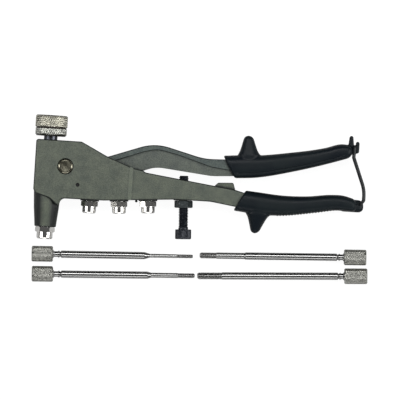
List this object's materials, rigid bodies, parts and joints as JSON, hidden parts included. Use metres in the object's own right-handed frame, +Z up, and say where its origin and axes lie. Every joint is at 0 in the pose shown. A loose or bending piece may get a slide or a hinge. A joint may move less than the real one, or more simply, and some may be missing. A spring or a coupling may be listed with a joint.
{
  "type": "hand riveter",
  "caption": "Plier-type hand riveter for threaded inserts: latched handles, draw sleeve with adjusting knob, stored nosepieces, stroke bolt and loose mandrels.",
  "frame": {"origin": "centre of the fitted nosepiece's anvil face, on the barrel line", "axes": "+Y up the barrel to the adjusting knob, +X out along the handles, +Z up from the bench the tool lies on, square to its flat sides"},
  "size_m": [0.2802, 0.1372, 0.0264],
  "materials": {
    "cast_paint": "hammered grey-green enamel",
    "lever_paint": "hammered grey-green enamel",
    "bright_steel": "turned, dished face",
    "spring_steel": "oiled spring steel",
    "dark_steel": "dark spring pin",
    "ground_steel": "ground",
    "knurled_steel": "plated, knurled",
    "chrome": "polished chrome plate",
    "black_oxide": "black oxide",
    "grip": "moulded blue-black vinyl, satin",
    "black_wire": "black coated spring wire",
    "mandrel_steel": "polished shank, knurled head"
  },
  "bodies": {
    "body": {"body_casting": "cast_paint", "pivot_pin": "bright_steel", "pivot_clip": "spring_steel", "stop_pin": "dark_steel", "thrust_washer": "ground_steel", "return_spring": "spring_steel", "fixed_grip": "grip"},
    "lever": {"moving_handle": "lever_paint", "moving_grip": "grip"},
    "draw": {"draw_sleeve": "ground_steel", "draw_collar": "ground_steel"},
    "knob": {"adjusting_knob": "knurled_steel"},
    "ring": {"lock_ring": "knurled_steel"},
    "fitted_nose": {"nosepiece_m6": "chrome"},
    "stored_m3": {"nosepiece_m3": "chrome"},
    "stored_m4": {"nosepiece_m4": "chrome"},
    "stored_m5": {"nosepiece_m5": "chrome"},
    "bolt": {"stroke_bolt": "black_oxide"},
    "nut": {"stroke_lock_nut": "black_oxide"},
    "latch": {"latch_wire": "black_wire"},
    "rod_m3": {"mandrel_m3": "mandrel_steel"},
    "rod_m4": {"mandrel_m4": "mandrel_steel"},
    "rod_m5": {"mandrel_m5": "mandrel_steel"},
    "rod_m6": {"mandrel_m6": "mandrel_steel"}
  },
  "joints": [
    {"name": "handle_pivot", "type": "hinge", "parent": "body", "child": "lever", "pos_m": [0.0138, 0.0603, 0], "axis": [0, 0, 1], "range_deg": [-1.6, 15]},
    {"name": "sleeve_draw", "type": "slide", "parent": "body", "child": "draw", "axis": [0, 1, 0], "range_m": [-0.0024, 0.0003], "deforming": ["return_spring"]},
    {"name": "knob_raise", "type": "slide", "parent": "draw", "child": "knob", "axis": [0, 1, 0], "range_m": [0, 0.004]},
    {"name": "lock_ring_turn", "type": "hinge", "parent": "draw", "child": "ring", "pos_m": [0, 0.0877, 0], "axis": [0, 1, 0], "continuous": true},
    {"name": "nosepiece_turn", "type": "hinge", "parent": "body", "child": "fitted_nose", "pos_m": [0, 0.008, 0], "axis": [0, 1, 0], "continuous": true},
    {"name": "m3_unscrew", "type": "slide", "parent": "body", "child": "stored_m3", "axis": [0, -1, 0], "range_m": [0, 0.008]},
    {"name": "m4_unscrew", "type": "slide", "parent": "body", "child": "stored_m4", "axis": [0.0628, -0.998, 0], "range_m": [0, 0.008]},
    {"name": "m5_unscrew", "type": "slide", "parent": "body", "child": "stored_m5", "axis": [0.0628, -0.998, 0], "range_m": [0, 0.008]},
    {"name": "stroke_set", "type": "slide", "parent": "body", "child": "bolt", "axis": [-0.0506, 0.9987, 0], "range_m": [-0.008, 0]},
    {"name": "lock_nut_turn", "type": "hinge", "parent": "body", "child": "nut", "pos_m": [0.112, 0.0385, 0], "axis": [-0.0506, 0.9987, 0], "continuous": true},
    {"name": "latch_swing", "type": "hinge", "parent": "body", "child": "latch", "pos_m": [0.2566, 0.0446, 0], "axis": [0, 0, 1], "range_deg": [-100, 0], "deforming": ["latch_wire"]},
    {"name": "m3_lift", "type": "slide", "parent": "body", "child": "rod_m3", "axis": [0, 0, 1], "range_m": [0, 0.05]},
    {"name": "m4_lift", "type": "slide", "parent": "body", "child": "rod_m4", "axis": [0, 0, 1], "range_m": [0, 0.05]},
    {"name": "m5_lift", "type": "slide", "parent": "body", "child": "rod_m5", "axis": [0, 0, 1], "range_m": [0, 0.05]},
    {"name": "m6_lift", "type": "slide", "parent": "body", "child": "rod_m6", "axis": [0, 0, 1], "range_m": [0, 0.05]}
  ],
  "couplings": [
    {"joint": "sleeve_draw", "follows": "handle_pivot", "m_per_rad": -0.009}
  ]
}
